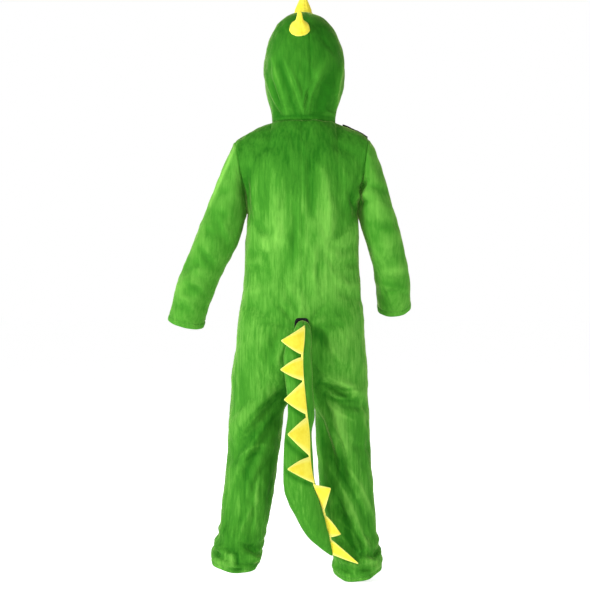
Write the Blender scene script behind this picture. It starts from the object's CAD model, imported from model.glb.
import math

import bmesh
import bpy
import numpy as np
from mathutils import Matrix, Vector


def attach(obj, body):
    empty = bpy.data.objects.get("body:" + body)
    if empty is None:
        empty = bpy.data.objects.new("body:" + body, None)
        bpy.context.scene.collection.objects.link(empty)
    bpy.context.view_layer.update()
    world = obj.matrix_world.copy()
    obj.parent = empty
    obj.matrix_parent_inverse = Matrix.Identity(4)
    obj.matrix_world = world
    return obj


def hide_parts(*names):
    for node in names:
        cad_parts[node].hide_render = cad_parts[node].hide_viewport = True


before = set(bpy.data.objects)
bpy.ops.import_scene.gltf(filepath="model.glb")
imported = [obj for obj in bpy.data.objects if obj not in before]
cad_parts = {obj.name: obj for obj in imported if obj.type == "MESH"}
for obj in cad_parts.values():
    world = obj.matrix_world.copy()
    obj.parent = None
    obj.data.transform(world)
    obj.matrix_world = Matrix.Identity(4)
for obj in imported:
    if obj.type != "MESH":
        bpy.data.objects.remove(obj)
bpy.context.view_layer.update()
print("frame loaded with", len(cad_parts), "nodes")

# Sizes are in millimetres up to the point where a mesh is made. The back of the suit faces +Y.
suit = {
    "clothThickness": 2.0,
    "coneSeat": (6, 207, 34),    # x, z and reach: the hood lies flat under the cone behind
    "underarmHeight": -215,
    "seatTop": -520,
    "crotchHeight": -640,
    "archRadius": 38,
    "sectionPower": 2.3,
    "neckShare": 6 / 14,      # share of a panel's columns that end on the neckline
    "neckColumns": 52,
    "shoulderColumns": 44,
    "shoulderRows": 46,
    "ankleRows": 30,
    "ankleHeight": 64,
    "legRows": 66,
    "archRows": 10,
    "seatRows": 32,
    "torsoRows": 66,
    "ankleReach": 130,
    "gatherWaves": 7,
    "gatherDepth": 2.2,
    "gatherHeight": 22,
    "legHem": 8,
    "cuffHem": 13,
    "faceHem": 9,
    "armholePull": 1.8,
    "shoulderDrop": 0.62,
    "seamDepth": 1.2,
    "seatSeamEase": 0.9,      # the seam down the back is flatter above the seat
    "hoodSeamDepth": 0.6,
    "easeRounds": 90,
    "easeReach": 13,
    "foldTint": 0.12,         # how far the pile changes on a fold, on a fine crease and along a seam
    "creaseTint": 0.2,
    "seamTint": 0.12,
}
torsoTable = {
    "z": [-215, -265, -320, -400, -455, -512, -560, -600, -640],
    "left": [128, 131, 134, 139, 149, 153, 159, 164, 167],
    "right": [130, 134, 133, 138, 144, 148, 151, 153, 155],
    "back": [95, 95, 91, 90, 97, 104, 104, 98, 90],
    "front": [90, 91, 92, 95, 97, 96, 93, 88, 82],
}
legTable = {
    "z": [-640, -690, -770, -850, -920, -970, -1000, -1035],
    "leftOuter": [167, 170, 175, 183, 190, 196, 207, 217],
    "leftInner": [39, 43, 54, 64, 77, 90, 97, 99],
    "rightOuter": [155, 157, 161, 167, 172, 176, 180, 187],
    "rightInner": [28, 31, 35, 41, 52, 66, 74, 76],
    "back": [78, 73, 65, 60, 57, 55, 57, 61],
    "front": [74, 71, 68, 63, 59, 56, 58, 62],
}
hem = {
    "left": {"inner": -1031, "back": -1048, "outer": -1020, "front": -1002},
    "right": {"inner": -1052, "back": -1068, "outer": -1038, "front": -1020},
}
ankleRolls = [
    {"height": 17, "reach": 8, "out": 5, "sway": 3},
    {"height": 40, "reach": 9, "out": 6, "sway": 5},
    {"height": 66, "reach": 10, "out": 4, "sway": 6},
]
neck = {"left": 70, "right": 78, "back": 60, "front": 58, "side": -1, "backHeight": 0, "frontHeight": -27}
shoulder = {"left": {"tip": 157, "height": -45}, "right": {"tip": 157, "height": -39}}
armhole = {"back": 50, "front": 46, "backScoop": 1, "frontScoop": 8}
sleeve = {
    "rows": 120,
    "settle": 0.45,           # share of the length over which it turns into a plain tube
    "left": {
        "t": [0, 0.1, 0.22, 0.38, 0.55, 0.7, 0.85, 1],
        "topX": [157, 177, 201, 231, 261, 289, 306, 316],
        "topZ": [-45, -84, -145, -220, -298, -362, -420, -461],
        "underX": [128, 133, 140, 157, 187, 207, 222, 232],
        "underZ": [-215, -230, -258, -298, -352, -400, -440, -480],
        "middle": [0, 0, 2, 3, 2, -4, -14, -26],
        "depth": [50, 52, 52, 50, 47, 44, 42, 41],
    },
    "right": {
        "t": [0, 0.1, 0.22, 0.38, 0.55, 0.7, 0.85, 1],
        "topX": [157, 175, 192, 214, 233, 248, 256, 260],
        "topZ": [-39, -72, -122, -200, -268, -332, -388, -430],
        "underX": [130, 134, 139, 153, 167, 174, 178, 181],
        "underZ": [-215, -229, -252, -292, -338, -374, -408, -440],
        "middle": [0, 0, 3, 6, 2, -14, -36, -58],
        "depth": [50, 52, 52, 50, 47, 44, 42, 41],
    },
}
hood = {
    "lowRows": 44,
    "topRows": 52,
    "wide": 110,
    "top": 258.5,
    "eggPower": 2.2,
    "neckFade": 70,
    "seamTurn": 0.19,         # the seam down the back sits this far round to the right
    "faceTop": 218,
    "table": {
        "z": [-1, 28, 52, 75, 110],
        "left": [70, 73, 80, 85, 90],
        "right": [78, 82, 89, 96, 101],
        "back": [60, 70, 83, 92, 99],
        "front": [58, 66, 76, 84, 91],
    },
    "face": {
        "z": [-1, 12, 40, 80, 120, 160, 195, 218],
        "angle": [180, 158, 138, 127, 124, 128, 145, 180],
    },
}

# Creases on each face: the two ends as x and z, width, how far out, sideways bow.
creases = {
    "back": [
        (-42, -612, -122, -627, 3.4, 1.4, 9), (-50, -634, -119, -647, 3.4, -1.3, 7),
        (-58, -652, -120, -694, 3.6, 1.1, 5), (-66, -700, -98, -768, 3.6, -1.2, -4),
        (-36, -676, -84, -800, 3.2, -1.2, -6), (-124, -630, -118, -652, 3.2, 1.0, 3),
        (145, -780, 84, -752, 3.6, 1.2, -9), (138, -796, 92, -770, 3.4, -1.0, -7),
        (46, -626, 140, -716, 3.6, -1.1, 6), (45, -644, 132, -730, 3.6, 1.1, -5),
        (44, -668, 118, -762, 3.4, -0.9, 4), (98, -820, 106, -960, 4.2, 0.9, 3),
        (132, -800, 142, -930, 4, -0.9, -3), (70, -830, 82, -960, 4, -0.9, 3),
        (-52, -790, -150, -990, 3.8, 1.1, -10), (-60, -780, -166, -970, 3.8, -1.1, -9),
        (-70, -860, -140, -1002, 3.6, -1.1, -6), (-102, -800, -172, -940, 4, 1.0, -8),
        (-84, -925, -150, -1004, 3.2, 1.2, -4), (-80, -946, -138, -1012, 3.2, -1.2, -4),
        (-140, -650, -158, -740, 4, 1.0, 4), (-150, -700, -168, -820, 4, -1.0, 4),
        # large folds that the frame has too
        (-66, -606, -138, -658, 13, -7, 0), (-60, -590, -128, -632, 12, 6, 0),
        (-72, -680, -125, -810, 20, 5, 0), (-46, -700, -105, -850, 14, -5, 0),
        (42, -640, 172, -790, 16, -5, 0), (70, -600, 170, -720, 18, 4, 0),
        (-42, -488, -62, -540, 12, -6, 0), (46, -488, 88, -565, 14, -4, 0),
        (52, -455, 115, -438, 16, -3, 0), (-52, -452, -112, -430, 16, -3, 0),
        (215, -205, 175, -290, 14, -4, 0), (232, -330, 290, -345, 14, -5, 0),
        (250, -375, 298, -385, 12, 4, 0), (-160, -270, -215, -240, 14, -2.6, 0),
        (-190, -330, -240, -310, 14, -3, 0),
        # upper back
        (-20, -95, -24, -215, 9, -2.6, 4), (20, -200, 24, -325, 9, -2.3, -4),
        (-50, -118, -66, -270, 12, 3.2, -5), (45, -120, 60, -290, 14, 2.4, 5),
        (78, -150, 70, -260, 11, -2.2, 4), (-88, -140, -92, -260, 12, -2.6, -4),
        (-112, -170, -126, -208, 7, -4.5, 0), (-125, -160, -155, -136, 6, -3.2, 0),
        (-129, -176, -150, -167, 5, 2.6, 0), (-128, -190, -158, -188, 6, -2.6, 0),
        (132, -115, 124, -205, 9, -4.2, 0), (112, -130, 104, -230, 10, 2.8, 4),
        (126, -214, 80, -262, 9, -2.8, 4), (120, -235, 70, -300, 12, 2.4, 4),
        (-126, -214, -84, -270, 9, -2.8, -4), (-124, -240, -78, -310, 12, 2.4, -4),
        (60, -60, 110, -84, 10, -2, 4), (-64, -56, -118, -78, 10, -2.2, -4),
        # waist and small of the back
        (130, -300, 70, -312, 10, -2.3, 5), (134, -345, 78, -350, 10, -2.6, -6),
        (136, -395, 84, -388, 10, 2.2, 4), (-130, -290, -72, -300, 10, -2.4, -5),
        (-134, -335, -76, -348, 10, -2.8, 6), (-136, -380, -80, -376, 10, 2.2, -4),
        (-138, -420, -90, -405, 10, -2.2, 3), (138, -430, 96, -424, 9, -2, 3),
        (-30, -300, -36, -410, 10, 2.2, 6), (36, -330, 30, -430, 10, -1.9, 5),
        # round the tail's root
        (20, -468, 60, -425, 7, -2.8, 3), (-18, -468, -62, -420, 7, -2.8, -3),
        (2, -460, 6, -392, 6, 2, 2), (26, -480, 98, -470, 8, -2.4, 5),
        (-24, -480, -98, -474, 8, -2.6, -5), (-28, -500, -46, -558, 7, -3.4, 3),
        (34, -505, 56, -570, 8, 2.6, 4), (-60, -505, -92, -560, 9, 2.8, 5),
        (-8, -560, -44, -592, 8, -2.4, 0), (10, -560, 42, -602, 8, -2.4, 0),
        # seat and the right leg
        (-40, -604, -118, -622, 7, -4.2, 10), (-54, -630, -136, -665, 7, -3.8, 9),
        (-48, -616, -124, -640, 6, 3.4, 10), (-78, -662, -94, -748, 15, 4.2, 4),
        (-54, -653, -101, -818, 8, -3.8, -8), (-38, -690, -78, -836, 7, -3.2, -6),
        (-46, -670, -92, -838, 7, 3, -7), (-130, -690, -142, -800, 11, -2.8, 5),
        (-104, -690, -120, -790, 8, -2.4, 6), (-120, -820, -150, -905, 10, 2.6, 5),
        (-70, -850, -100, -950, 9, -3, -5), (-58, -902, -103, -984, 6, 2.8, -4),
        (-80, -896, -114, -954, 6, -3.2, -3), (-98, -880, -128, -944, 7, 2.2, -4),
        (-136, -880, -152, -960, 8, -2.2, 4), (-104, -740, -150, -760, 9, -2.2, 5),
        # the left leg
        (40, -600, 150, -740, 11, 3.2, 6), (60, -700, 140, -850, 10, -3, 6),
        (70, -690, 158, -835, 8, 2.8, 6), (72, -780, 122, -880, 8, -2.4, 4),
        (110, -640, 162, -690, 10, -2.4, 5), (60, -655, 96, -702, 8, -2.6, 3),
        (118, -900, 150, -975, 6, 2.2, 3), (128, -905, 160, -985, 6, -2.2, 3),
        (98, -880, 120, -960, 7, -2, 3), (160, -850, 178, -940, 9, -2, -4),
        # ankles
        (204, -1000, 188, -1012, 6, -3.6, 0), (176, -990, 156, -998, 7, -3.2, 2),
        (140, -983, 104, -1006, 6, -4.4, -3), (118, -1010, 98, -1021, 7, 3.6, 0),
        (152, -1025, 108, -1030, 5, -3.4, 3), (168, -1037, 140, -1040, 4, -2, 2),
        (200, -1016, 160, -1028, 6, 2.6, 3), (150, -1003, 146, -1030, 4, -1.8, 0),
        (162, -1000, 162, -1028, 4, 1.6, 0), (186, -1022, 174, -1038, 5, -2, 2),
        (-95, -977, -124, -1018, 7, -5.2, -3), (-130, -1006, -166, -1011, 5, -3.6, -4),
        (-166, -1011, -182, -996, 5, -3, 0), (-122, -963, -141, -1004, 4, -2.2, -6),
        (-132, -958, -154, -1000, 5, 2.2, -6), (-148, -960, -166, -992, 5, -2, -5),
        (-92, -1022, -130, -1034, 6, 3, -4), (-84, -1040, -118, -1052, 5, -3, -4),
        (-128, -1044, -164, -1042, 5, -2.2, -3), (-140, -1024, -178, -1024, 6, 2.6, -4),
        # sleeves from behind
        (146, -48, 214, -192, 6, 2.4, 5), (226, -250, 196, -264, 8, -2.8, 3),
        (238, -300, 206, -328, 7, -3.2, 4), (262, -330, 226, -352, 7, 2.8, 4),
        (285, -370, 240, -392, 7, -2.8, 4), (292, -400, 250, -416, 7, 2.2, 3),
        (300, -424, 262, -436, 7, -2.2, 3), (228, -230, 256, -300, 8, 2, -4),
        (160, -160, 196, -176, 9, -2.2, 4), (166, -226, 206, -214, 8, -2.4, 4),
        (-148, -150, -200, -168, 8, -2.8, -5), (-152, -196, -210, -206, 9, 1.5, -5),
        (-158, -236, -220, -246, 8, -1.8, -6), (-180, -300, -232, -290, 8, -1.6, 5),
        (-186, -345, -243, -338, 8, 1.3, 4), (-190, -368, -248, -376, 8, -1.5, -4),
        (-196, -398, -252, -404, 6, -2.2, -3), (-183, -371, -211, -440, 2.4, -1.4, 0),
        (-206, -210, -226, -270, 7, 2, 4), (-168, -110, -188, -150, 8, 2, 3),
        # hood from behind: a fan of pleats from the middle of the neck
        (-5, 14, 42, 138, 4.6, 3, 6), (33, 12, 68, 144, 5, 2.8, -7), (14, 14, 56, 130, 5.5, -2.8, 0),
        (41, 16, 80, 94, 5, 2.8, -5), (44, 24, 66, 84, 5, -2.2, -4), (-8, 18, -65, 144, 9, 2.8, -9),
        (-2, 14, -30, 92, 5, -2.6, -3), (-36, 22, -72, 112, 11, -2.8, -6),
        (-79, 33, -92, 125, 5, 2.6, -3), (-54, 21, -78, 16, 5, 3, 0), (53, 12, 64, 24, 5, -3.4, 0),
        (-6, 66, -3, 14, 3, 2, 0), (9, 116, 8, 130, 2.6, 1.4, 0), (22, 30, 30, 100, 3, 1.6, 4),
        (-20, 26, -52, 100, 3.5, -1.6, -6), (60, 150, 30, 200, 12, 2, 5),
        (-70, 160, -40, 214, 12, -2, -5), (-20, 14, -60, 14, 4, -2, 0),
    ],
    "front": [
        # large folds that the frame has too
        (40, -590, 130, -560, 15, -6, 0), (-36, -590, -124, -555, 15, -6, 0),
        (60, -780, 165, -745, 16, 5, 0), (-50, -770, -152, -800, 16, 5, 0),
        (20, -330, 115, -300, 18, -4, 0), (-30, -350, -118, -315, 18, -4, 0),
        (215, -300, 265, -330, 14, -6, 0), (-185, -290, -235, -320, 14, -6, 0),
        # the front and the sleeves from the front
        (60, -60, 75, -160, 14, 2.8, 4), (-64, -60, -80, -170, 14, 2.8, -4),
        (30, -46, 20, -140, 10, -2.2, 4), (-28, -50, -16, -150, 10, -2.2, -4),
        (126, -214, 72, -268, 10, -3.2, 4), (-126, -214, -70, -275, 10, -3.2, -4),
        (118, -236, 60, -305, 12, 2.6, 4), (-120, -240, -60, -310, 12, 2.6, -4),
        (128, -350, 60, -362, 10, -2.6, 5), (-128, -344, -55, -358, 10, -2.6, -5),
        (132, -400, 70, -398, 11, 2.4, 4), (-132, -405, -74, -396, 11, 2.4, -4),
        (10, -420, 80, -440, 13, -2.4, 5), (-12, -430, -78, -452, 12, -2.4, -5),
        (20, -520, 120, -505, 11, -3.2, 6), (-20, -525, -118, -508, 11, -3.2, -6),
        (24, -625, 130, -600, 9, 2.8, 5), (-24, -625, -128, -604, 9, 2.8, -5),
        (36, -655, 140, -640, 10, -2.8, 6), (-34, -655, -136, -642, 10, -2.8, -6),
        (60, -720, 150, -700, 11, -2.8, 5), (-50, -715, -145, -735, 11, -2.8, -5),
        (70, -812, 165, -786, 11, -3.2, 5), (-56, -800, -150, -826, 11, -3.2, -5),
        (80, -840, 160, -862, 10, 2.6, 4), (-62, -850, -150, -840, 10, 2.6, -4),
        (110, -900, 150, -985, 9, -2.6, 4), (-90, -900, -140, -980, 9, -2.6, -4),
        (120, -984, 190, -978, 7, -3.2, 4), (-90, -1000, -165, -990, 7, -3.2, -4),
        (126, -1004, 196, -996, 6, 2.6, 3), (-96, -1018, -170, -1010, 6, 2.6, -3),
        (150, -130, 190, -150, 9, -2.6, 4), (-150, -124, -188, -146, 9, -2.6, -4),
        (166, -210, 214, -226, 9, 2.8, 4), (-156, -200, -206, -216, 9, 2.8, -4),
        (190, -320, 250, -300, 8, -3, 5), (-172, -310, -232, -290, 8, -3, -5),
        (216, -380, 282, -366, 8, 2.6, 4), (-182, -360, -246, -350, 8, 2.6, -4),
        (236, -430, 298, -420, 7, -2.4, 3), (-186, -400, -250, -396, 7, -2.4, -3),
        (66, 40, 80, 150, 7, 2, 4), (-74, 40, -90, 150, 7, 2, -4),
    ],
}
creaseDepth = 1.6
fineWidth = 5.0    # a crease narrower than this also turns the pile by itself
# Where the pile lies lighter or darker on each face: the two ends, width, amount.
tones = {
    "back": [
        (-54, -150, -50, -262, 20, 0.16), (92, -100, 74, -200, 24, 0.09),
        (-20, -120, -22, -225, 8, -0.14), (18, -230, 26, -330, 11, -0.16),
        (-100, -150, -92, -230, 22, 0.10), (60, -220, 66, -330, 26, 0.07),
        (-70, -250, -74, -380, 22, 0.09), (0, -60, 0, -215, 2.6, 0.10), (122, -120, 118, -212, 9, -0.22),
        (-122, -150, -110, -214, 8, -0.20), (-118, -196, -128, -208, 6, -0.25),
        (-26, -486, -48, -508, 13, -0.45), (-56, -530, -110, -500, 24, 0.12),
        (34, -520, 36, -640, 12, -0.30), (-36, -540, -40, -640, 13, -0.16),
        (-40, -612, -118, -650, 8, -0.22), (-56, -604, -120, -616, 6, 0.16),
        (-62, -630, -136, -662, 7, 0.09), (-80, -664, -96, -752, 15, 0.26),
        (-60, -664, -100, -830, 8, -0.17), (-118, -680, -140, -830, 15, -0.09),
        (-120, -700, -150, -900, 8, 0.10), (-84, -880, -112, -970, 9, -0.17),
        (-98, -900, -132, -980, 5, 0.14), (-100, -940, -128, -1010, 12, -0.22),
        (-34, -700, -70, -850, 7, -0.20), (40, -616, 150, -790, 16, -0.14),
        (50, -670, 140, -700, 14, 0.05), (70, -700, 150, -850, 9, -0.13), (96, -690, 160, -760, 9, 0.04),
        (44, -650, 96, -980, 14, -0.10), (150, -660, 176, -900, 12, 0.07),
        (168, -990, 156, -1002, 9, -0.20), (203, -1000, 190, -1012, 7, -0.17),
        (130, -1026, 108, -1030, 6, -0.20), (120, -980, 100, -1004, 7, -0.15),
        (196, -1030, 130, -1050, 6, 0.11), (-150, -996, -180, -1008, 7, -0.13),
        (-96, -1030, -150, -1046, 7, -0.15), (-140, -1014, -182, -1040, 9, 0.13),
        (-90, -1062, -160, -1064, 5, 0.08), (0, 20, 40, 130, 2.3, 0.22), (34, 16, 68, 138, 2.5, 0.22),
        (14, 20, 52, 126, 5, -0.10), (44, 30, 66, 100, 6, -0.10), (-14, 30, -50, 140, 10, 0.07),
        (-44, 20, -66, 84, 12, -0.14), (-80, 30, -94, 130, 4, 0.30), (72, 28, 92, 84, 6, 0.22),
        (-46, 14, -72, 14, 4, 0.14), (60, 10, -66, 10, 3, -0.16), (40, -2, -60, -2, 6, -0.04),
        (150, -50, 216, -196, 3.2, 0.40), (170, -200, 200, -250, 12, -0.10),
        (235, -300, 210, -340, 9, -0.14), (270, -370, 240, -400, 9, -0.14),
        (270, -320, 300, -400, 8, 0.10), (-160, -170, -200, -300, 14, 0.12),
        (-160, -240, -214, -256, 9, -0.12), (-190, -350, -240, -350, 9, 0.10),
        (-188, -376, -246, -390, 8, -0.14),
    ],
    "front": [
        (60, -60, 70, -200, 22, 0.12), (-64, -80, -76, -210, 22, 0.12), (40, -420, 110, -440, 20, -0.12),
        (-40, -430, -110, -450, 20, -0.12), (90, -700, 150, -740, 16, 0.16),
        (-70, -720, -140, -750, 16, 0.16), (70, -800, 160, -790, 12, -0.20),
        (-60, -800, -150, -830, 12, -0.20), (60, -600, 120, -590, 12, -0.18),
        (-50, -600, -116, -590, 12, -0.18), (122, -200, 96, -250, 10, -0.18),
        (-122, -200, -96, -260, 10, -0.18),
    ],
}
# Slow unevenness of the cloth: wavelengths along x, y and z, and depth.
ripples = [
    (74, 96, 118, 0.55), (-52, 88, 71, 0.45), (41, -63, 96, 0.32), (96, 44, -49, 0.3),
    (-31, 37, 60, 0.2), (27, 52, -38, 0.16),
]


def smooth(value, start, end):
    share = np.clip((value - start) / (end - start), 0, 1)
    return share * share * (3 - 2 * share)


def between(a, b, share):
    return a + (b - a) * share


def bunched(count, near, far):
    # numbers from 0 to 1 that lie closer together at the near end, the far end or both
    t = np.linspace(0, 1, count + 1)
    return t - near * (1 - t) ** 2 * t - far * t ** 2 * (t - 1)


def lookUp(table, key, at, column):
    keys = np.array(table[key], float)
    values = np.array(table[column], float)
    at = np.asarray(at, float)
    if keys[-1] < keys[0]:
        keys = -keys
        at = -at
    count = len(keys)
    ahead = np.minimum(np.arange(count) + 1, count - 1)
    before = np.maximum(np.arange(count) - 1, 0)
    slopes = (values[ahead] - values[before]) / (keys[ahead] - keys[before])
    row = np.clip(np.searchsorted(keys, at, side="left") - 1, 0, count - 2)
    span = keys[row + 1] - keys[row]
    t = np.clip((at - keys[row]) / span, 0, 1)
    rise = (2 * t ** 3 - 3 * t ** 2 + 1) * values[row] + (3 * t ** 2 - 2 * t ** 3) * values[row + 1]
    return rise + ((t ** 3 - 2 * t ** 2 + t) * slopes[row] + (t ** 3 - t ** 2) * slopes[row + 1]) * span


def spot(x, y, z):
    return np.stack(np.broadcast_arrays(x, y, z), -1).astype(float)


def sectionSize(angle):
    power = suit["sectionPower"]
    return (np.abs(np.sin(angle)) ** power + np.abs(np.cos(angle)) ** power) ** (-1 / power)


def torsoPoint(side, angle, z):
    size = sectionSize(angle)
    behind = np.cos(angle)
    depth = np.where(behind > 0, lookUp(torsoTable, "z", z, "back"), lookUp(torsoTable, "z", z, "front"))
    return spot(lookUp(torsoTable, "z", z, side) * size * np.abs(np.sin(angle)), depth * size * behind, z)


def legPoint(side, angle, z, innerShare):
    outer = lookUp(legTable, "z", z, side + "Outer")
    inner = lookUp(legTable, "z", z, side + "Inner") * innerShare
    back = lookUp(legTable, "z", z, "back")
    depth = np.where(angle < math.pi / 2, back, lookUp(legTable, "z", z, "front"))
    return spot(inner + (outer - inner) * (1 - np.cos(2 * angle)) / 2, depth * np.sin(2 * angle), z)


def hemHeight(side, angle):
    edge = hem[side]
    middle = (edge["inner"] + edge["outer"] + edge["back"] + edge["front"]) / 4
    fourfold = (edge["inner"] + edge["outer"] - edge["back"] - edge["front"]) / 4
    sideways = (edge["inner"] - edge["outer"]) / 2 * np.cos(2 * angle)
    lengthways = (edge["back"] - edge["front"]) / 2 * np.sin(2 * angle)
    return middle + sideways + lengthways + fourfold * np.cos(4 * angle)


def ankleShape(sign, angle, height):
    out = 0
    for k, roll in enumerate(ankleRolls):
        level = roll["height"] + roll["sway"] * np.sin(2 * angle + k * 2.1 + sign)
        out = out + roll["out"] * np.exp(-(((height - level) / roll["reach"]) ** 2))
    fade = np.exp(-height / suit["gatherHeight"])
    return out + suit["gatherDepth"] * fade * np.cos(suit["gatherWaves"] * 2 * angle + sign)


def lowerRows(side):
    mean = (hemHeight(side, math.pi / 2) + hemHeight(side, 0)) / 2
    archFoot = suit["crotchHeight"] - suit["archRadius"]
    legFoot = mean + suit["ankleHeight"]
    rows = []
    for t in np.arange(suit["ankleRows"]) / suit["ankleRows"]:
        z = mean + suit["ankleHeight"] * t
        rows.append((z - mean, z, z, 1, 1))
    for t in np.arange(suit["legRows"]) / suit["legRows"]:
        z = between(legFoot, archFoot, t)
        rows.append((z - mean, z, z, 1, 1))
    for t in np.arange(suit["archRows"]) / suit["archRows"]:
        turn = math.pi / 2 * (1 - t)
        outer = between(archFoot, suit["crotchHeight"], t)
        inner = suit["crotchHeight"] - suit["archRadius"] * (1 - math.cos(turn))
        rows.append((outer - mean, inner, outer, 1, math.sin(turn)))
    for t in np.arange(suit["seatRows"]) / suit["seatRows"]:
        turn = math.pi / 2 * (1 - t)
        outer = between(suit["crotchHeight"], suit["seatTop"], t)
        rows.append((outer - mean, between(suit["seatTop"], suit["crotchHeight"], math.sin(turn)), outer,
                     1 - math.cos(turn), 0))
    for t in np.arange(suit["torsoRows"]) / suit["torsoRows"]:
        z = between(suit["seatTop"], suit["underarmHeight"], t)
        rows.append((z - mean, z, z, 0, 0))
    return [column[:, None] for column in np.array(rows, float).T], mean


def neckPoint(angle):
    # the angle runs from the centre back, to the suit's left above 0 and to its right below 0
    behind = np.cos(angle)
    width = np.where(angle >= 0, neck["left"], neck["right"])
    depth = np.where(behind > 0, neck["back"], neck["front"])
    height = np.where(behind > 0, neck["backHeight"], neck["frontHeight"])
    return spot(width * np.sin(angle), depth * behind, between(neck["side"], height, behind * behind))


def shoulderPoint(side, t):
    fall = suit["shoulderDrop"] * t + (1 - suit["shoulderDrop"]) * t * t
    tip = shoulder[side]
    return spot(between(neck[side], tip["tip"], t), 0 * t, between(neck["side"], tip["height"], fall))


def armholePoint(side, face, w):
    rise = np.sin(w * math.pi / 2)
    bulge = np.maximum(np.sin(w * math.pi), 0)
    way = 1 if face == "back" else -1
    return spot(
        between(torsoTable[side][0], shoulder[side]["tip"], rise) - armhole[face + "Scoop"] * bulge,
        way * armhole[face] * bulge ** 0.8,
        between(suit["underarmHeight"], shoulder[side]["height"], rise),
    )


def risingPoint(side, face, u, w):
    way = 1 if face == "back" else -1
    quarter = u * math.pi / 2
    foot = torsoPoint(side, quarter if way > 0 else math.pi - quarter, suit["underarmHeight"])
    turn = np.minimum(u / suit["neckShare"], 1) * math.pi / 2
    onNeck = neckPoint(turn if way > 0 else math.pi - turn)
    onNeck[..., 0] *= neck[side] / neck["left"]
    onShoulder = shoulderPoint(side, np.clip((u - suit["neckShare"]) / (1 - suit["neckShare"]), 0, 1))
    head = np.where((u < suit["neckShare"])[..., None], onNeck, onShoulder)
    return spot(
        between(foot[..., 0], head[..., 0], smooth(w, 0, 1)),
        between(head[..., 1], foot[..., 1], np.cos(w * math.pi / 2)),
        between(foot[..., 2], head[..., 2], np.sin(w * math.pi / 2)),
    )


def hoodPoint(angle, z, share):
    table = hood["table"]
    at = np.minimum(z, hood["wide"])
    behind = np.cos(angle)
    width = np.where(angle >= 0, lookUp(table, "z", at, "left"), lookUp(table, "z", at, "right")) * share
    depth = np.where(behind > 0, lookUp(table, "z", at, "back"), lookUp(table, "z", at, "front")) * share
    size = between(1, sectionSize(angle), smooth(z, 0, hood["neckFade"]))
    dip = (neckPoint(angle)[..., 2] - neck["side"]) * (1 - smooth(z, 0, hood["neckFade"]))
    return spot(width * size * np.sin(angle), depth * size * behind, z + dip)


# A panel's columns crowd towards its seams, where the cloth dips.
neckU = bunched(suit["neckColumns"], 0.8, 0) * suit["neckShare"]
shoulderU = suit["neckShare"] + bunched(suit["shoulderColumns"], 0, 0.8) * (1 - suit["neckShare"])
panelU = np.concatenate([neckU, shoulderU[1:]])
armholeW = bunched(suit["shoulderRows"], 0, 0.8)
sides = {"left": 1, "right": -1}


def makeGrid(points, facing, wrap=False):
    return {"points": points, "facing": facing, "wrap": wrap}


def panelGrid(side, face):
    sign = sides[side]
    (height, inner, outer, leg, opening), mean = lowerRows(side)
    quarter = panelU[None, :] * math.pi / 2
    angle = quarter if face == "back" else math.pi - quarter
    tilt = 1 - smooth(height, 0, suit["ankleReach"])
    z = between(inner, outer, np.sin(angle) ** 2) + tilt * (hemHeight(side, angle) - mean)
    onLeg = legPoint(side, angle, z, opening)
    out = np.where(height < suit["ankleReach"], ankleShape(sign, angle, height), 0)
    onLeg[..., 0] -= out * np.cos(2 * angle)
    onLeg[..., 1] += out * np.sin(2 * angle)
    lower = between(torsoPoint(side, angle, z), onLeg, leg[..., None])
    u = panelU[None, :]
    w = armholeW[:, None]
    pull = armholePoint(side, face, w) - risingPoint(side, face, np.ones((1, 1)), w)
    under = suit["ankleRows"] + suit["legRows"] + suit["archRows"]
    near = np.exp(-(((np.arange(len(lower)) - under) / suit["easeReach"]) ** 2))[:, None]
    near = near * smooth(u, 0.02, 0.3)
    for _ in range(suit["easeRounds"]):    # the line under the seat is eased, clear of the seams
        mean = (lower[2:] + lower[:-2]) / 2
        lower[1:-1] += (mean - lower[1:-1]) * (near[1:-1] * 0.7 * smooth(1 - u, 0, 0.1))[..., None]
    upper = risingPoint(side, face, u, w) + pull * (u ** suit["armholePull"])[..., None]
    points = np.concatenate([lower, upper])
    points[..., 0] *= sign
    return makeGrid(points, sign * (1 if face == "back" else -1))


def sleeveGrid(side):
    table = sleeve[side]
    sign = sides[side]

    def at(t, column):
        return lookUp(table, "t", np.clip(t, 0, 1), column)

    def middle(t):
        across = (at(t, "topX") + at(t, "underX")) / 2
        return spot(across, at(t, "middle"), (at(t, "topZ") + at(t, "underZ")) / 2)

    w = np.concatenate([armholeW[::-1], armholeW[1:-1]])
    turn = np.concatenate([math.pi * (1 - armholeW[::-1]), math.pi * (1 + armholeW[1:-1])])[None, :, None]
    face = np.arange(len(w)) < len(armholeW)
    ring = np.where(face[:, None], armholePoint(side, "back", w), armholePoint(side, "front", w))
    t = bunched(sleeve["rows"], 0.8, 0.8)

    def tube(t):
        ahead = middle(np.minimum(t + 0.02, 1)) - middle(np.maximum(t - 0.02, 0))
        ahead /= np.linalg.norm(ahead, axis=-1, keepdims=True)
        half = spot((at(t, "topX") - at(t, "underX")) / 2, 0, (at(t, "topZ") - at(t, "underZ")) / 2)
        back = np.cross(half, ahead)
        back *= np.sign(back[..., 1:2]) / np.linalg.norm(back, axis=-1, keepdims=True)
        back *= at(t, "depth")[..., None]
        return middle(t)[:, None] + half[:, None] * np.cos(turn) + back[:, None] * np.sin(turn)

    fade = (1 - smooth(t, 0, sleeve["settle"]))[:, None, None]
    points = tube(t) + (ring[None] - tube(np.zeros(1))) * fade
    points[..., 0] *= sign
    grid = makeGrid(points, sign, True)
    grid["middle"] = at(t, "middle")[:, None]
    return grid


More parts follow.
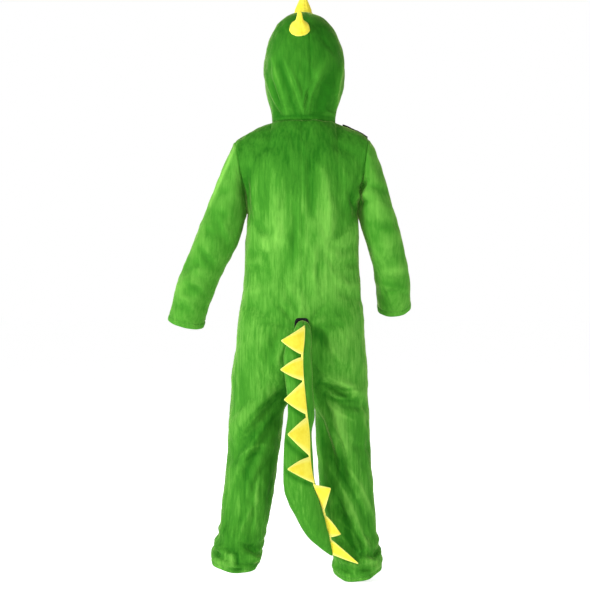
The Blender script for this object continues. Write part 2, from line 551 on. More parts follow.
def hoodGrid(side):
    sign = sides[side]
    low = between(neck["side"], hood["wide"], bunched(hood["lowRows"], 0.8, 0)[:-1])
    turn = np.linspace(0, math.pi / 2, hood["topRows"] + 1)
    top = between(hood["wide"], hood["top"], np.sin(turn) ** (2 / hood["eggPower"]))
    dome = np.maximum(np.cos(turn), 0) ** (2 / hood["eggPower"])
    share = np.concatenate([np.ones(len(low)), dome])[:, None]
    z = np.concatenate([low, top])[:, None]
    end = np.radians(np.minimum(lookUp(hood["face"], "z", z, "angle"), 180))
    end[0] = math.pi
    neckTurn = neckU / suit["neckShare"] / 2
    across = np.concatenate([neckTurn, 1 - neckTurn[-2::-1]])[None, :]
    start = -sign * hood["seamTurn"] * smooth(z, 10, 90)
    angle = sign * between(start, end, across)
    points = hoodPoint(angle, z, share)
    points[0] = neckPoint(sign * across[0] * math.pi)
    points[-1] = (0, 0, hood["top"])
    grid = makeGrid(points, sign)
    grid["faceEdge"] = 1 - smooth(z, hood["faceTop"] - 14, hood["faceTop"])
    return grid


def findNormals(grid):
    points = grid["points"]
    if grid["wrap"]:
        points = np.concatenate([points, points[:, :1]], 1)
    cell = np.cross(points[1:, 1:] - points[:-1, :-1], points[:-1, 1:] - points[1:, :-1]) * grid["facing"]
    normals = np.zeros(points.shape)
    normals[:-1, :-1] += cell
    normals[1:, :-1] += cell
    normals[:-1, 1:] += cell
    normals[1:, 1:] += cell
    if grid["wrap"]:
        normals[:, 0] += normals[:, -1]
        normals = normals[:, :-1]
    return normals / np.maximum(np.linalg.norm(normals, axis=-1, keepdims=True), 1e-9)


def sewnDirections(grids):
    # one direction for all the points that are sewn together at a place
    places = np.concatenate([grid["points"].reshape(-1, 3) for grid in grids])
    own = np.concatenate([grid["normals"].reshape(-1, 3) for grid in grids])
    number = np.unique(np.round(places / 0.02).astype(np.int64), axis=0, return_inverse=True)[1].ravel()
    sums = np.zeros((number.max() + 1, 3))
    np.add.at(sums, number, own)
    common = (sums / np.maximum(np.linalg.norm(sums, axis=-1, keepdims=True), 1e-9))[number]
    ends = np.cumsum([0] + [grid["points"].size // 3 for grid in grids])
    return [common[a:b].reshape(grid["points"].shape) for a, b, grid in zip(ends, ends[1:], grids)]


def everyRow(lists):
    return [(face, row) for face, rows in lists.items() for row in rows]


def pileLie(points, behind):
    # how much lighter or darker the pile looks at a point
    out = np.zeros(points.shape[:2])
    for face, (fromX, fromZ, toX, toZ, width, amount) in everyRow(tones):
        length = max(math.hypot(toX - fromX, toZ - fromZ), 1)
        wayX = (toX - fromX) / length
        wayZ = (toZ - fromZ) / length
        along = (points[..., 0] - fromX) * wayX + (points[..., 2] - fromZ) * wayZ
        t = np.clip(along / length, 0, 1)
        off = (points[..., 2] - fromZ) * wayX - (points[..., 0] - fromX) * wayZ
        fade = smooth(behind if face == "back" else -behind, 0, 25)
        shape = np.exp(-((off / width) ** 2 + ((along - t * length) / (1.5 * width)) ** 2))
        out += amount * fade * shape * (0.6 + 0.4 * np.sin(math.pi * t))
    return out


def creaseOut(points, behind):
    x = points[..., 0]
    z = points[..., 2]
    seen = {"back": smooth(behind, 0, 30), "front": smooth(-behind, 0, 30)}
    out = np.zeros(x.shape)
    fine = np.zeros(x.shape)
    for face, (fromX, fromZ, toX, toZ, width, depth, bow) in everyRow(creases):
        reach = 3 * width + abs(bow)
        near = (x > min(fromX, toX) - reach) & (x < max(fromX, toX) + reach)
        near &= (z > min(fromZ, toZ) - reach) & (z < max(fromZ, toZ) + reach)
        near &= seen[face] > 0
        if not near.any():
            continue
        length = math.hypot(toX - fromX, toZ - fromZ)
        wayX = (toX - fromX) / length
        wayZ = (toZ - fromZ) / length
        along = (x[near] - fromX) * wayX + (z[near] - fromZ) * wayZ
        t = np.clip(along / length, 0, 1)
        off = (z[near] - fromZ) * wayX - (x[near] - fromX) * wayZ - 4 * bow * t * (1 - t)
        beyond = along - t * length
        side = width * np.where(off > 0, 1.2, 0.85)    # one flank of a crease is steeper
        shape = np.exp(-((off / side) ** 2 + (beyond / width) ** 2))
        crease = creaseDepth * depth * seen[face][near] * shape * (0.45 + 0.55 * np.sin(math.pi * t))
        out[near] += crease
        if width < fineWidth:
            fine[near] += crease
    for lengthX, lengthY, lengthZ, depth in ripples:
        phase = 2 * math.pi * (x / lengthX + points[..., 1] / lengthY + z / lengthZ)
        out += depth * np.sin(phase + 1.3 * np.sin(phase * 0.37))
    return out, fine


def wayFrom(points, axis, fromEnd=False):
    # distance along the cloth from one edge of a grid
    steps = np.linalg.norm(np.diff(points, axis=axis), axis=-1)
    start = np.zeros_like(np.take(steps, [0], axis))
    if fromEnd:
        return np.flip(np.cumsum(np.concatenate([start, np.flip(steps, axis)], axis), axis), axis)
    return np.cumsum(np.concatenate([start, steps], axis), axis)


def seamShape(distance, points, depth):
    along = points[..., 0] * 0.9 + points[..., 1] * 0.5 + points[..., 2] * 1.1
    pucker = 1 + 0.35 * np.sin(along / 3.7 + 2 * np.sin(along / 11))
    shape = 0.4 * np.exp(-(((distance - 6) / 3.5) ** 2)) - np.exp(-((distance / 2.4) ** 2))
    return depth * pucker * shape


def hemShape(distance, width, along):
    band = 0.7 * np.sin(math.pi * np.clip(distance / width, 0, 1))
    pucker = 1 + 0.4 * np.sin(along / 2.9 + 2 * np.sin(along / 13))
    return band - 1.1 * pucker * np.exp(-(((distance - width) / 1.6) ** 2))


cloth = {}
for side in sides:
    cloth["back_" + side] = {"kind": "panel", "grid": panelGrid(side, "back")}
    cloth["front_" + side] = {"kind": "panel", "grid": panelGrid(side, "front")}
    cloth["sleeve_" + side] = {"kind": "sleeve", "grid": sleeveGrid(side)}
    cloth["hood_" + side] = {"kind": "hood", "grid": hoodGrid(side)}
grids = [piece["grid"] for piece in cloth.values()]
for grid in grids:
    grid["normals"] = findNormals(grid)
for piece, common in zip(cloth.values(), sewnDirections(grids)):
    grid = piece["grid"]
    points = grid["points"]
    far = wayFrom(points, 1, True)
    if piece["kind"] == "panel":
        seam = np.minimum(np.minimum(wayFrom(points, 1), far), wayFrom(points, 0, True))
        middle = 1 - smooth(wayFrom(points, 1), 0, 12)
        onSeat = smooth(points[..., 2], suit["seatTop"], suit["seatTop"] + 40)
        depth = suit["seamDepth"] - suit["seatSeamEase"] * middle * onSeat
        nearNeck = 1 - smooth(wayFrom(points, 0, True), 0, 10)
        nearNeck *= 1 - smooth(panelU, suit["neckShare"], suit["neckShare"] + 0.12)
        depth = between(depth, suit["hoodSeamDepth"], nearNeck)
        edge = hemShape(wayFrom(points, 0), suit["legHem"], wayFrom(points, 1))
        behind = points[..., 1]
    elif piece["kind"] == "sleeve":
        underSeam = len(armholeW) - 1
        ring = wayFrom(points, 1)
        seam = np.minimum(wayFrom(points, 0), np.abs(ring - ring[:, underSeam:underSeam + 1]))
        depth = suit["seamDepth"] * np.ones(seam.shape)
        edge = hemShape(wayFrom(points, 0, True), suit["cuffHem"], ring)
        behind = points[..., 1] - grid["middle"]
    else:
        seam = np.minimum(wayFrom(points, 1), wayFrom(points, 0))
        depth = suit["hoodSeamDepth"] * np.ones(seam.shape)
        seam = np.where(grid["faceEdge"] > 0, seam, np.minimum(seam, far))
        edge = hemShape(far, suit["faceHem"], wayFrom(points, 0)) * grid["faceEdge"]
        edge = edge * smooth(wayFrom(points, 0), 0, 20)
        behind = points[..., 1]
    relief, fine = creaseOut(points, behind)
    if piece["kind"] == "hood":
        seatX, seatZ, reach = suit["coneSeat"]
        across = ((points[..., 0] - seatX) ** 2 + (points[..., 2] - seatZ) ** 2) / reach ** 2
        relief = relief * (1 - 0.95 * np.exp(-(across ** 2)) * smooth(behind, 0, 25))
    out = relief + seamShape(seam, points, depth) + edge
    grid["lie"] = pileLie(points, behind) + suit["foldTint"] * np.tanh(relief / 4)
    if piece["kind"] == "panel":
        grid["lie"] += suit["creaseTint"] * np.tanh(fine / 1.6)
    grid["lie"] -= suit["seamTint"] * (depth - 0.3) * np.exp(-((seam / 2.5) ** 2))
    piece["moved"] = points + common * out[..., None]
for piece in cloth.values():
    piece["grid"]["points"] = piece["moved"]
    piece["grid"]["normals"] = findNormals(piece["grid"])
for piece, common in zip(cloth.values(), sewnDirections(grids)):
    own = piece["grid"]["normals"]
    agree = (own * common).sum(-1, keepdims=True)
    lean = between(own, common, smooth(agree, 0.6, 0.8))
    lean /= np.linalg.norm(lean, axis=-1, keepdims=True)
    stretch = 1 / np.maximum((lean * own).sum(-1, keepdims=True), 0.6)
    piece["grid"]["inner"] = piece["grid"]["points"] - lean * stretch * suit["clothThickness"]
print("cloth shaped")


def setValues(mesh, name, values):
    mesh.attributes.new(name, "FLOAT", "POINT").data.foreach_set("value", values)


def tubeFaces(ids):
    # quads between rings of points, each row of ids a ring
    ahead = np.roll(ids, -1, axis=1)
    return np.stack([ids[:-1], ahead[:-1], ahead[1:], ids[1:]], -1).reshape(-1, 4).tolist()


def fanFaces(centre, ring, turned=False):
    # triangles from a middle point to a ring
    pairs = zip(ring.tolist(), np.roll(ring, -1).tolist())
    return [[centre, b, a] if turned else [centre, a, b] for a, b in pairs]


def onePaint(mesh):
    # the same material inside and outside
    mesh.polygons.foreach_set("material_index", np.zeros(len(mesh.polygons), np.int32))


def wallMesh(name, grid, soften=None, poleTop=False):
    # a closed wall between a grid's outer and inner points, with a soft edge where it is open
    points = grid["points"]
    inner = grid["inner"]
    rows, columns = points.shape[:2]
    spots = [points.reshape(-1, 3), inner.reshape(-1, 3)]
    count = rows * columns
    outerIds = np.arange(count).reshape(rows, columns)
    i = np.arange(rows - 1)[:, None]
    j = np.arange(columns if grid["wrap"] else columns - 1)[None, :]
    k = (j + 1) % columns
    corners = [outerIds[i, j], outerIds[i + 1, j], outerIds[i + 1, k], outerIds[i, k]]
    skin = np.stack(corners, -1).reshape(-1, 4)
    faces = [skin, skin[:, ::-1] + count]
    chains = [("bottom", outerIds[0], points[0] - points[1])]
    if not poleTop:
        chains.append(("top", outerIds[-1][::-1], (points[-1] - points[-2])[::-1]))
    if not grid["wrap"]:
        chains.append(("near", outerIds[::-1, 0], (points[:, 0] - points[:, 1])[::-1]))
        chains.append(("far", outerIds[:, -1], points[:, -1] - points[:, -2]))
    closing = []
    flat = np.concatenate(spots)
    total = 2 * count
    for edge, ids, outward in chains:
        soft = np.asarray((soften or {}).get(edge, 0), float) * np.ones(len(ids))
        if edge in ("top", "near"):
            soft = soft[::-1]
        length = np.maximum(np.linalg.norm(outward, axis=-1, keepdims=True), 1e-6)
        thick = np.linalg.norm(flat[ids] - flat[ids + count], axis=-1, keepdims=True)
        middle = (flat[ids] + flat[ids + count]) / 2 + outward / length * thick * 0.45 * soft[:, None]
        spots.append(middle)
        mids = total + np.arange(len(ids))
        total += len(ids)
        a = np.arange(len(ids) if grid["wrap"] else len(ids) - 1)
        b = (a + 1) % len(ids)
        faces.append(np.stack([ids[a], ids[b], mids[b], mids[a]], -1))
        faces.append(np.stack([mids[a], mids[b], ids[b] + count, ids[a] + count], -1))
        if not grid["wrap"]:
            closing.append([ids[0], mids[0], ids[0] + count])
            closing.append([mids[-1], ids[-1], ids[-1] + count])
    quads = np.concatenate(faces)
    insides = len(skin)
    made = [list(face) for face in quads.tolist()] + closing
    if grid["facing"] < 0:
        made = [face[::-1] for face in made]
    mesh = bpy.data.meshes.new(name)
    mesh.from_pydata((np.concatenate(spots) / 1000).tolist(), [], made)
    if "lie" in grid:
        lie = np.zeros(total, np.float32)
        lie[:count] = grid["lie"].ravel()
        lie[count:2 * count] = grid["lie"].ravel()
        setValues(mesh, "lie", lie)
    marks = np.zeros(len(made), np.int32)
    marks[insides:2 * insides] = 1
    mesh.polygons.foreach_set("material_index", marks)
    return mesh


def linkObject(name, data):
    made = bpy.data.objects.new(name, data)
    bpy.context.scene.collection.objects.link(made)
    return made


def addObject(mesh, materials, merge=True):
    piece = linkObject(mesh.name, mesh)
    for material in materials:
        mesh.materials.append(material)
    if merge:
        work = bmesh.new()
        work.from_mesh(mesh)
        bmesh.ops.remove_doubles(work, verts=work.verts, dist=2e-6)
        bmesh.ops.dissolve_degenerate(work, edges=work.edges, dist=1e-7)
        work.to_mesh(mesh)
        work.free()
    mesh.polygons.foreach_set("use_smooth", [True] * len(mesh.polygons))
    mesh.update()
    return piece


# Materials
def addNode(tree, kind, settings=None, inputs=None):
    made = tree.nodes.new(kind)
    for key, value in (settings or {}).items():
        if key == "stops":
            ramp = made.color_ramp
            while len(ramp.elements) < len(value):
                ramp.elements.new(0.5)
            for element, (place, colour) in zip(ramp.elements, value):
                element.position = place
                element.color = (*colour, 1)
        else:
            setattr(made, key, value)
    for key, value in (inputs or {}).items():
        if isinstance(value, bpy.types.NodeSocket):
            tree.links.new(value, made.inputs[key])
        else:
            made.inputs[key].default_value = value
    return made


class Value:
    # a socket that can be used in a sum, so that each operator adds its Math node
    def __init__(self, paint, socket):
        self.paint = paint
        self.socket = socket

    def maths(self, operation, first, second):
        return self.paint.node("ShaderNodeMath", {"operation": operation}, {0: first, 1: second})

    def __add__(self, other):
        return self.maths("ADD", self, other)

    def __radd__(self, other):
        return self.maths("ADD", other, self)

    def __sub__(self, other):
        return self.maths("SUBTRACT", self, other)

    def __rsub__(self, other):
        return self.maths("SUBTRACT", other, self)

    def __mul__(self, other):
        return self.maths("MULTIPLY", self, other)

    def __rmul__(self, other):
        return self.maths("MULTIPLY", other, self)


class Paint:
    def __init__(self, name):
        self.material = bpy.data.materials.new(name)
        self.material.use_nodes = True
        self.tree = self.material.node_tree
        self.tree.nodes.clear()

    def node(self, kind, settings=None, inputs=None, output=0):
        given = {key: value.socket if isinstance(value, Value) else value
                 for key, value in (inputs or {}).items()}
        return Value(self, addNode(self.tree, kind, settings, given).outputs[output])

    def place(self, scale=(1, 1, 1)):
        spots = self.node("ShaderNodeTexCoord", output="Object")
        return self.node("ShaderNodeMapping", inputs={"Vector": spots, "Scale": scale})

    def noise(self, scale, detail=2.0, stretch=(1, 1, 1), rough=0.5, bend=0.0):
        return self.node("ShaderNodeTexNoise", inputs={
            "Vector": self.place(stretch), "Scale": scale, "Detail": detail, "Roughness": rough,
            "Distortion": bend})

    def range(self, value, low, high, start=0.0, end=1.0):
        return self.node("ShaderNodeMapRange", {"interpolation_type": "SMOOTHSTEP"}, {
            "Value": value, "From Min": low, "From Max": high, "To Min": start, "To Max": end})

    def mix(self, share, first, second):
        return self.node("ShaderNodeMix", {"data_type": "RGBA"}, {0: share, 6: first, 7: second}, 2)

    def bump(self, height, strength, distance):
        return self.node("ShaderNodeBump", inputs={
            "Height": height, "Strength": strength, "Distance": distance})

    def finish(self, **sockets):
        names = {
            "baseColor": "Base Color", "roughness": "Roughness", "normal": "Normal",
            "specular": "Specular IOR Level", "sheen": "Sheen Weight", "sheenTint": "Sheen Tint",
            "sheenRoughness": "Sheen Roughness",
            "glow": "Emission Color", "glowStrength": "Emission Strength",
        }
        shader = self.node("ShaderNodeBsdfPrincipled", inputs={names[key]: sockets[key] for key in sockets})
        addNode(self.tree, "ShaderNodeOutputMaterial", inputs={"Surface": shader.socket})
        return self.material


velour = {
    "dark": (0.016, 0.140, 0.006),
    "middle": (0.052, 0.250, 0.018),
    "light": (0.190, 0.500, 0.070),
    "sheen": 0.55,
    "darkFrom": -0.30,        # height in metres below which the pile of the back lies lighter
    "darkTo": -0.02,
    "legFrom": -0.72,
    "legTo": -0.50,
}


def velourPaint(name, tone, rising, falling, uneven):
    # short pile that was brushed this way and that: long upright streaks, soft patches and fine tufts
    paint = Paint(name)
    patches = paint.noise(9, 3, (1, 1, 0.6), 0.55, 0.5)
    marks = paint.noise(46, 7, (1, 1, 0.26), 0.72, 0.7)
    streaks = paint.noise(170, 5, (1, 1, 0.06), 0.7)
    tufts = paint.noise(1500, 2, (1, 1, 0.6), 0.6)
    height = paint.node("ShaderNodeSeparateXYZ", inputs={0: paint.place()}, output=2)
    placed = paint.node("ShaderNodeAttribute", {"attribute_name": "lie"}, output="Fac")
    brushed = (patches - 0.5) * (0.5 * uneven) + (marks - 0.5) * (0.75 * uneven)
    brushed = brushed + (streaks - 0.5) * (0.95 * uneven) + (tufts - 0.5) * 0.2 + placed * 1.1
    upward = paint.range(height, velour["darkFrom"], velour["darkTo"]) * rising
    downward = paint.range(height, velour["legFrom"], velour["legTo"], 1.0, 0.0) * falling
    lie = brushed + (0.5 + tone) - upward - downward
    colour = paint.node("ShaderNodeValToRGB", {"stops": [
        (0.08, velour["dark"]), (0.46, velour["middle"]), (0.95, velour["light"])]}, {"Fac": lie})
    pile = tufts * 0.5 + streaks * 0.5 + marks * 1.6
    return paint.finish(
        baseColor=colour, roughness=0.9, sheen=velour["sheen"], sheenRoughness=0.28,
        sheenTint=(0.74, 1.0, 0.30, 1), specular=0.08, normal=paint.bump(pile, 0.5, 0.0013))


def backingPaint():
    # the knitted wrong side of the cloth
    paint = Paint("knitted_backing")
    ribs = paint.node("ShaderNodeTexWave", {"bands_direction": "X"}, {
        "Vector": paint.place(), "Scale": 260, "Distortion": 0.6, "Detail": 1.0})
    courses = paint.node("ShaderNodeTexWave", {"bands_direction": "Z"}, {
        "Vector": paint.place(), "Scale": 200, "Distortion": 1.4, "Detail": 1.0})
    wear = paint.noise(30, 3)
    colour = paint.mix(ribs * 0.4 + wear * 0.4, (0.045, 0.20, 0.02, 1), (0.10, 0.34, 0.045, 1))
    return paint.finish(baseColor=colour, roughness=0.94, specular=0.1,
                        normal=paint.bump(ribs + courses * 0.6, 0.5, 0.0004))


def feltPaint():
    paint = Paint("yellow_felt")
    fibres = paint.noise(900, 4, (1, 0.35, 1), 0.7, 1.5)
    hairs = paint.noise(2600, 3, (0.4, 1, 1), 0.7, 2.0)
    clouds = paint.noise(60, 3, (1, 1, 1), 0.6)
    edge = paint.node("ShaderNodeAttribute", {"attribute_name": "rim"}, output="Fac")
    body = paint.mix(paint.range(clouds * 0.6 + fibres * 0.4, 0.35, 0.65),
                     (0.86, 0.71, 0.035, 1), (0.94, 0.83, 0.075, 1))
    colour = paint.mix(paint.range(edge, 0.55, 1.0) * 0.8, body, (0.96, 0.93, 0.24, 1))
    return paint.finish(baseColor=colour, roughness=0.93, sheen=0.25, sheenRoughness=0.5,
                        sheenTint=(1.0, 0.95, 0.6, 1), specular=0.15,
                        normal=paint.bump(fibres * 0.6 + hairs * 0.6, 0.5, 0.0007))


def tapePaint():
    # looped fastening tape
    paint = Paint("black_tape")
    loops = paint.node("ShaderNodeTexVoronoi", inputs={
        "Vector": paint.place(), "Scale": 1100}, output="Distance")
    fluff = paint.noise(700, 3, (1, 1, 1), 0.7)
    colour = paint.mix(fluff, (0.002, 0.002, 0.002, 1), (0.010, 0.010, 0.010, 1))
    return paint.finish(baseColor=colour, roughness=0.85, sheen=0.06, sheenRoughness=0.4,
                        specular=0.15, normal=paint.bump(loops + fluff, 0.6, 0.0006))


def threadPaint(name, dark, light):
    paint = Paint(name)
    twist = paint.node("ShaderNodeTexWave", {"bands_direction": "DIAGONAL"}, {
        "Vector": paint.place(), "Scale": 900, "Distortion": 1.0})
    colour = paint.mix(twist * 0.7 + paint.noise(300) * 0.3, (*dark, 1), (*light, 1))
    return paint.finish(baseColor=colour, roughness=0.6, sheen=0.2, specular=0.3,
                        normal=paint.bump(twist, 0.4, 0.0002))


paints = {
    "body": velourPaint("green_velour", 0.06, 0.34, 0.12, 0.85),
    "sleeve": velourPaint("green_velour_sleeve", 0.06, 0.04, 0.0, 0.5),
    "hood": velourPaint("green_velour_hood", -0.30, 0.0, 0.0, 0.5),
    "tail": velourPaint("green_velour_tail", -0.06, 0.0, 0.0, 0.7),
    "backing": backingPaint(),
    "felt": feltPaint(),
    "tape": tapePaint(),
    "greenThread": threadPaint("green_thread", (0.018, 0.10, 0.010), (0.05, 0.22, 0.02)),
    "yellowThread": threadPaint("yellow_thread", (0.50, 0.40, 0.02), (0.85, 0.74, 0.09)),
    "blackThread": threadPaint("black_thread", (0.005, 0.005, 0.005), (0.03, 0.03, 0.03)),
}
print("materials made")

# The suit's eight cloth pieces, with the size that each is cut to, in metres.
cuts = {
    "back_left": {"flat": (0.30, 1.09), "area": 0.215, "rests": ["hood_left_cloth", "sleeve_left_cloth"]},
    "back_right": {"flat": (0.29, 1.10), "area": 0.212,
                   "rests": ["hood_right_cloth", "sleeve_right_cloth"]},
    "front_left": {"flat": (0.28, 1.06), "area": 0.200, "rests": ["hood_left_cloth", "sleeve_left_cloth"]},
    "front_right": {"flat": (0.28, 1.08), "area": 0.198,
                   "rests": ["hood_right_cloth", "sleeve_right_cloth"]},
    "sleeve_left": {"flat": (0.36, 0.45), "area": 0.118, "rests": ["back_left_cloth"]},
    "sleeve_right": {"flat": (0.35, 0.41), "area": 0.103, "rests": ["back_right_cloth"]},
    "hood_left": {"flat": (0.26, 0.34), "area": 0.066, "rests": ["back_left_cloth"]},
    "hood_right": {"flat": (0.25, 0.34), "area": 0.062, "rests": ["back_right_cloth"]},
}
paintOf = {"panel": "body", "sleeve": "sleeve", "hood": "hood"}
shown = {}
for name, piece in cloth.items():
    grid = piece["grid"]
    if piece["kind"] == "panel":
        soft = {"bottom": 1}
    elif piece["kind"] == "sleeve":
        soft = {"top": 1}
    else:
        soft = {"far": grid["faceEdge"][:, 0]}
    mesh = wallMesh(name + "_cloth", grid, soft, poleTop=piece["kind"] == "hood")
    shown[name] = addObject(mesh, [paints[paintOf[piece["kind"]]], paints["backing"]])
print("suit built")

# The stuffed tail, from its root on the seat to the tip.
tail = {
    "rings": 190,
    "around": 84,
    "length": 560,
    "seamDepth": 3.4,
    "underSeamDepth": 2.2,
    "slim": 0.55,             # how far the side beyond the seam is drawn in
    "pulls": (0.158, 0.282, 0.42, 0.605, 0.732),
    "pullDepth": 1.8,
    "pullShade": 0.3,
    # dents and puffs: way down the tail, turn, length, width and depth
    "dents": [
        (46, 0.6, 9, 0.5, -3.2), (95, 0.9, 12, 0.6, 2.2), (150, 0.2, 16, 0.4, -2.2),
        (215, 1.0, 18, 0.5, 2.4), (270, 0.3, 14, 0.5, -2.0), (330, 0.8, 20, 0.5, -2.4),
        (390, 0.5, 22, 0.6, 2.4), (420, -0.6, 16, 0.4, -2.0), (455, 0.9, 16, 0.5, -2.2),
    ],
    "table": {
        "s": [0, 0.04, 0.09, 0.15, 0.25, 0.38, 0.5, 0.62, 0.71, 0.79, 0.87, 0.93, 0.97, 1],
        "x": [-1, -1, 3, 9, 9, 3, 4, 5, 4, 0, -16, -35, -53, -68],
        "y": [107, 121, 130, 129, 126, 121, 117, 112, 108, 105, 101, 98, 96, 95],
        "z": [-481, -484, -507, -535, -580, -655, -714, -778, -824, -860, -904, -948, -978, -1001],
        "halfWidth": [15, 18, 25, 30, 32, 30, 34, 38, 39, 38, 33, 25, 14, 3],
        "halfDepth": [17, 20, 23, 25, 27, 27, 27, 26, 25, 24, 22, 19, 12, 3],
        "turn": [8, 10, 14, 17, 17, 20, 32, 35, 45, 62, 84, 90, 90, 90],
    },
}
tape = {"left": 17, "right": 15, "bottom": -508, "top": -458, "thickness": 1.6, "clear": 0.3, "cells": 12,
        "squareness": 0.45}


def unit(vectors):
    return vectors / np.maximum(np.linalg.norm(vectors, axis=-1, keepdims=True), 1e-9)


def tailFrame(s):
    def at(column, where):
        return lookUp(tail["table"], "s", np.clip(where, 0, 1), column)

    def line(where):
        return spot(at("x", where), at("y", where), at("z", where))

    way = unit(line(s + 0.01) - line(s - 0.01))
    way = np.where((s == 0)[..., None], np.array([0.0, 1.0, 0.0]), way)
    across = unit(np.array([1.0, 0.0, 0.0]) - way * way[..., :1])
    return line(s), way, across, np.cross(across, way), at("halfWidth", s), at("halfDepth", s)


def seamAngle(s):
    return -np.radians(lookUp(tail["table"], "s", np.clip(s, 0, 1), "turn"))


def tailPoint(s, angle):
    middle, _, across, behind, halfWidth, halfDepth = tailFrame(s)
    turn = np.sin(np.radians(lookUp(tail["table"], "s", np.clip(s, 0, 1), "turn")))
    slim = tail["slim"] * smooth(s, 0.42, 0.52) * (1 - smooth(s, 0.72, 0.8))
    wide = (halfWidth * (np.sin(angle) + slim * np.maximum(-np.sin(angle) - turn, 0)))[..., None]
    deep = (halfDepth * np.cos(angle))[..., None]
    return middle + across * wide + behind * deep


def tapeFace(z):
    return lookUp(torsoTable, "z", z, "back") + tape["clear"] + tape["thickness"]


def buildTail():
    t = np.linspace(0, 1, tail["rings"] + 1)
    s = (t - 0.12 * np.sin(2 * math.pi * t) / (2 * math.pi))[:, None]
    angle = (np.arange(tail["around"]) / tail["around"] * 2 * math.pi)[None, :]
    points = tailPoint(*np.broadcast_arrays(s, angle))
    points[0, :, 1] = tapeFace(points[0, :, 2]) + 0.1
    grid = makeGrid(points, -1, True)
    normals = findNormals(grid)
    seam = seamAngle(s)
    off = (angle - seam + math.pi) % (2 * math.pi) - math.pi
    under = (angle - seam) % (2 * math.pi) - math.pi
    length = s * tail["length"]
    full = smooth(s, 0, 0.06) * (1 - smooth(s, 0.95, 1))
    pull = 1 + 0.3 * np.sin(length / 2.6 + 2 * np.sin(length / 9))
    out = -tail["seamDepth"] * np.exp(-((off / 0.15) ** 2)) * pull
    out += -tail["underSeamDepth"] * np.exp(-((under / 0.13) ** 2)) * pull
    out += 0.8 * np.exp(-((off / 0.55) ** 2)) * np.sin(length / 5.2 + 1.5 * np.sin(length / 17)) * 0.9
    out += 0.7 * np.exp(-((under / 0.6) ** 2)) * np.sin(length / 6.1 + 1.7 * np.sin(length / 23))
    out += 1.1 * np.sin(length / 23 + 1.2 * np.sin(angle)) * np.sin(angle * 2 + length / 70)
    out += 0.8 * np.sin(length / 41 + 2.2 * np.cos(angle + 0.6))
    for where, turn, reach, spread, depth in tail["dents"]:
        turned = (angle - turn + math.pi) % (2 * math.pi) - math.pi
        out += depth * np.exp(-(((length - where) / reach) ** 2) - (turned / spread) ** 2)
    pulled = np.zeros(out.shape)
    for where in tail["pulls"]:    # the cloth is drawn in below each spike
        below = s - (where + 0.014 - 0.045 * off)
        pulled += np.exp(-((below / 0.015) ** 2)) * smooth(off, 0.05, 0.35) * (1 - smooth(off, 1.5, 2.1))
    out -= tail["pullDepth"] * pulled
    moved = points + normals * (out * full)[..., None]
    moved[0] = points[0]
    start = moved[0].mean(0)
    start[1] = tapeFace(start[2]) + 0.1
    middle, way = tailFrame(np.array([1.0]))[:2]
    spots = np.concatenate([moved.reshape(-1, 3), start[None], middle + way * 2])
    root = moved.size // 3
    ids = np.arange(root).reshape(-1, tail["around"])
    faces = tubeFaces(ids) + fanFaces(root, ids[0], True) + fanFaces(root + 1, ids[-1])
    mesh = bpy.data.meshes.new("tail_stuffed")
    mesh.from_pydata((spots / 1000).tolist(), [], faces)
    lie = np.zeros(len(spots), np.float32)
    lie[:root] = (-tail["pullShade"] * pulled).ravel()
    setValues(mesh, "lie", lie)
    return addObject(mesh, [paints["tail"]], merge=False)


shown["tail"] = buildTail()

# Felt spikes along the tail: stretch of seam, reach of the point, its shift along the tail, side, lean
# in degrees, and how far the upper and the lower edge belly out.
felt = {"thickness": 2.4, "rows": 24, "steps": 16, "curl": 3, "seat": 0.2, "sunk": 1.6}
tailSpikes = [
    {"from": 0.045, "to": 0.156, "out": 53.5, "along": 8, "side": 1, "lean": 12, "upper": 0.5, "lower": 3,
     "cut": (0.060, 0.055, 0.0022)},
    {"from": 0.168, "to": 0.281, "out": 53.5, "along": 0.5, "side": 1, "lean": 12, "upper": 5, "lower": 3,
     "cut": (0.060, 0.055, 0.0021)},
    {"from": 0.282, "to": 0.418, "out": 51, "along": -4, "side": 1, "lean": 10, "upper": 1, "lower": 3,
     "cut": (0.078, 0.053, 0.0026)},
    {"from": 0.426, "to": 0.603, "out": 61.5, "along": -8, "side": 1, "lean": 6, "upper": 2.5, "lower": 2.5,
     "cut": (0.093, 0.060, 0.0033)},
    {"from": 0.606, "to": 0.731, "out": 69, "along": -13.5, "side": 1, "lean": 5, "upper": 4.5, "lower": 2,
     "cut": (0.068, 0.067, 0.0027)},
    {"from": 0.736, "to": 0.886, "out": 32, "along": -7.5, "side": -1, "lean": 58, "upper": 0.5,
     "lower": 0.5, "cut": (0.078, 0.040, 0.0016)},
    {"from": 0.888, "to": 0.958, "out": 20, "along": 28, "side": -1, "lean": 84, "upper": 5, "lower": 0.5,
     "cut": (0.048, 0.045, 0.0012)},
    {"from": 0.96, "to": 1, "out": 31.5, "along": 55.5, "side": -1, "lean": 88, "upper": 2, "lower": 0.5,
     "cut": (0.062, 0.050, 0.0015)},
]


def outOf(s):
    s = np.atleast_1d(np.asarray(s, float))
    skin = tailPoint(s, seamAngle(s))
    before = np.maximum(s - 0.01, 0)
    after = np.minimum(s + 0.01, 1)
    along = tailPoint(after, seamAngle(s)) - tailPoint(before, seamAngle(s))
    over = unit(tailPoint(s, seamAngle(s) + 0.05) - tailPoint(s, seamAngle(s) - 0.05))
    out = unit(np.cross(along, over))
    outward = (out * (skin - tailFrame(s)[0])).sum(-1, keepdims=True)
    return skin, over, out * np.sign(outward)


